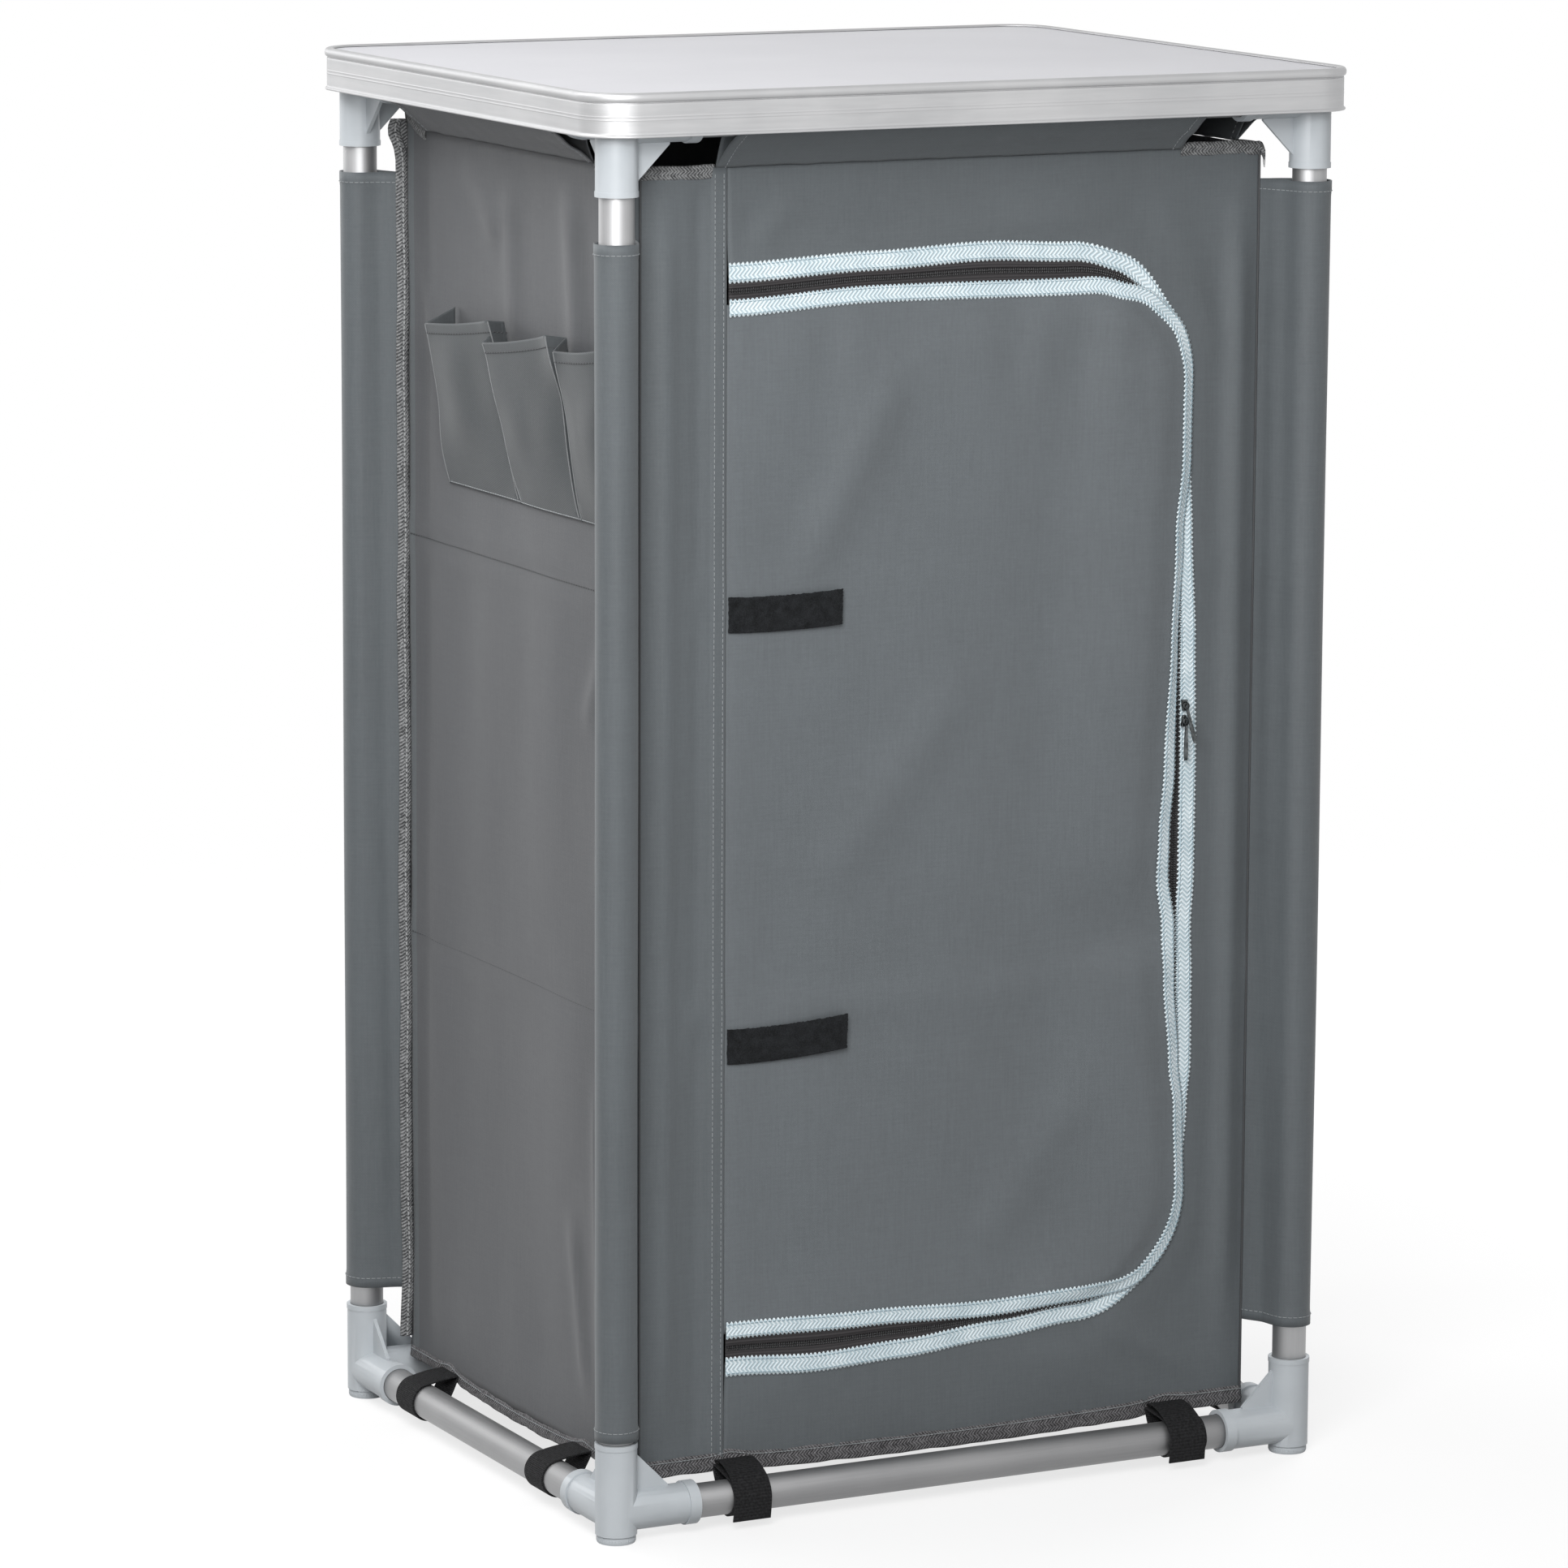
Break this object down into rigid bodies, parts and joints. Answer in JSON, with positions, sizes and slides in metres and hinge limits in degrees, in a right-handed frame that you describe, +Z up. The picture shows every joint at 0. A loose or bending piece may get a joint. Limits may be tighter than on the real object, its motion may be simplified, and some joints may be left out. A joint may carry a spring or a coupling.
{
  "type": "camp kitchen cupboard",
  "caption": "Tall fabric camp cupboard on a tube frame with corner mouldings, a zipped door, inner shelves, side pockets and a lift-off rimmed tabletop.",
  "frame": {"origin": "on the floor, under the middle of the overall bounding box", "axes": "+Z up; the zipped door faces -Y; +X is to the right of someone who faces the door"},
  "size_m": [0.61, 0.5, 1.03],
  "materials": {
    "laminate": "smooth pale grey laminate, satin",
    "alloy": "satin anodised, drawn lengthwise",
    "moulding": "light grey moulded plastic, fine matte",
    "cloth": "dark slate coated polyester, fine plain weave",
    "webbing": "pale blue herringbone webbing with stitching",
    "hook_tape": "black hook-and-loop webbing",
    "zip_metal": "dark coated zip hardware with worn bright edges"
  },
  "bodies": {
    "frame": {"upper_corner_front_left": "moulding", "upper_corner_front_right": "moulding", "upper_corner_back_left": "moulding", "upper_corner_back_right": "moulding", "lower_corner_front_left": "moulding", "lower_corner_front_right": "moulding", "lower_corner_back_left": "moulding", "lower_corner_back_right": "moulding", "leg_front_left": "alloy", "leg_front_right": "alloy", "leg_back_left": "alloy", "leg_back_right": "alloy", "upper_rail_front": "alloy", "upper_rail_back": "alloy", "upper_rail_left": "alloy", "upper_rail_right": "alloy", "lower_rail_front": "alloy", "lower_rail_back": "alloy", "lower_rail_left": "alloy", "lower_rail_right": "alloy", "left_panel": "cloth", "right_panel": "cloth", "back_panel": "cloth", "front_strip": "cloth", "front_frame": "cloth", "cabinet_floor": "cloth", "lower_shelf": "cloth", "upper_shelf": "cloth", "pocket_row": "cloth", "sleeve_front_left": "cloth", "sleeve_front_right": "cloth", "sleeve_back_left": "cloth", "sleeve_back_right": "cloth", "top_flap_front": "cloth", "top_flap_back": "cloth", "top_flap_left": "cloth", "top_flap_right": "cloth", "base_strap_front_a": "hook_tape", "base_strap_front_b": "hook_tape", "base_strap_back_a": "hook_tape", "base_strap_back_b": "hook_tape", "base_strap_left_a": "hook_tape", "base_strap_left_b": "hook_tape", "base_strap_right_a": "hook_tape", "base_strap_right_b": "hook_tape", "zip_trim_frame": "webbing"},
    "tabletop": {"tabletop_board": "laminate", "tabletop_rim": "alloy"},
    "door": {"door_panel": "cloth", "zip_trim_door": "webbing"},
    "upper_tie": {"tie_upper": "hook_tape"},
    "lower_tie": {"tie_lower": "hook_tape"},
    "upper_slider": {"slider_upper": "zip_metal"},
    "lower_slider": {"slider_lower": "zip_metal"},
    "upper_pull": {"pull_upper": "zip_metal"},
    "lower_pull": {"pull_lower": "zip_metal"},
    "front_left_foot": {"foot_front_left": "moulding"},
    "front_right_foot": {"foot_front_right": "moulding"},
    "back_left_foot": {"foot_back_left": "moulding"},
    "back_right_foot": {"foot_back_right": "moulding"}
  },
  "joints": [
    {"name": "tabletop_lift", "type": "slide", "parent": "frame", "child": "tabletop", "axis": [0, 0, 1], "range_m": [0, 0.06]},
    {"name": "door_swing", "type": "hinge", "parent": "frame", "child": "door", "pos_m": [-0.179, -0.1985, 0.5], "axis": [0, 0, -1], "range_deg": [0, 105]},
    {"name": "upper_tie_fold", "type": "hinge", "parent": "door", "child": "upper_tie", "pos_m": [-0.179, -0.1985, 0.656], "axis": [0, 0, -1], "range_deg": [0, 45]},
    {"name": "lower_tie_fold", "type": "hinge", "parent": "door", "child": "lower_tie", "pos_m": [-0.179, -0.1985, 0.345], "axis": [0, 0, -1], "range_deg": [0, 45]},
    {"name": "upper_slider_run", "type": "slide", "parent": "frame", "child": "upper_slider", "axis": [0, 0, 1], "range_m": [0, 0.234]},
    {"name": "lower_slider_run", "type": "slide", "parent": "frame", "child": "lower_slider", "axis": [0, 0, -1], "range_m": [0, 0.34]},
    {"name": "upper_pull_swing", "type": "hinge", "parent": "upper_slider", "child": "upper_pull", "pos_m": [0.1923, -0.2026, 0.5659], "axis": [-1, 0, 0], "range_deg": [0, 150]},
    {"name": "lower_pull_swing", "type": "hinge", "parent": "lower_slider", "child": "lower_pull", "pos_m": [0.1923, -0.2026, 0.5544], "axis": [-1, 0, 0], "range_deg": [0, 38]},
    {"name": "front_left_foot_screw", "type": "slide", "parent": "frame", "child": "front_left_foot", "axis": [0, 0, -1], "range_m": [0, 0.012]},
    {"name": "front_right_foot_screw", "type": "slide", "parent": "frame", "child": "front_right_foot", "axis": [0, 0, -1], "range_m": [0, 0.012]},
    {"name": "back_left_foot_screw", "type": "slide", "parent": "frame", "child": "back_left_foot", "axis": [0, 0, -1], "range_m": [0, 0.012]},
    {"name": "back_right_foot_screw", "type": "slide", "parent": "frame", "child": "back_right_foot", "axis": [0, 0, -1], "range_m": [0, 0.012]}
  ]
}
